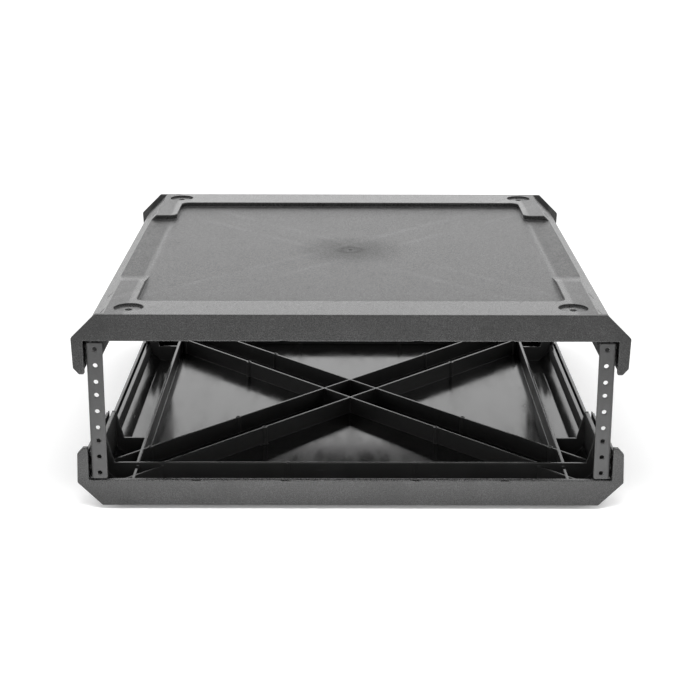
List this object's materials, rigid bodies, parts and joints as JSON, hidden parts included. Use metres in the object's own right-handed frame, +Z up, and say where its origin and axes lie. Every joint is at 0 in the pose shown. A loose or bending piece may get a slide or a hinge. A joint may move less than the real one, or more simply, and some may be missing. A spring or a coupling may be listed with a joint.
{
  "type": "open rack frame",
  "caption": "Open-sided frame for 19-inch rack equipment: ribbed moulded trays above and below, joined at the corners by steel rack rails with the standard hole pattern.",
  "frame": {"origin": "centre of the footprint, on the surface that the feet stand on", "axes": "+X to the right seen from the front, +Y from the front to the rear, +Z up"},
  "size_m": [0.508, 0.5, 0.1901],
  "materials": {
    "tray_plastic": "black moulded ABS, fine grain outside, smoother inside",
    "rail_steel": "satin black powder coat",
    "screw_steel": "black oxide",
    "plated_steel": "zinc plate",
    "foot_rubber": "matte black"
  },
  "bodies": {
    "root": {"bottom_tray": "tray_plastic", "top_tray": "tray_plastic", "front_left_rail": "rail_steel", "front_left_rail_screws": "screw_steel", "front_left_rail_washers": "plated_steel", "front_left_foot": "foot_rubber", "front_right_rail": "rail_steel", "front_right_rail_screws": "screw_steel", "front_right_rail_washers": "plated_steel", "front_right_foot": "foot_rubber", "rear_left_rail": "rail_steel", "rear_left_rail_screws": "screw_steel", "rear_left_rail_washers": "plated_steel", "rear_left_foot": "foot_rubber", "rear_right_rail": "rail_steel", "rear_right_rail_screws": "screw_steel", "rear_right_rail_washers": "plated_steel", "rear_right_foot": "foot_rubber", "foot_screws": "screw_steel", "foot_washers": "plated_steel"}
  },
  "joints": []
}
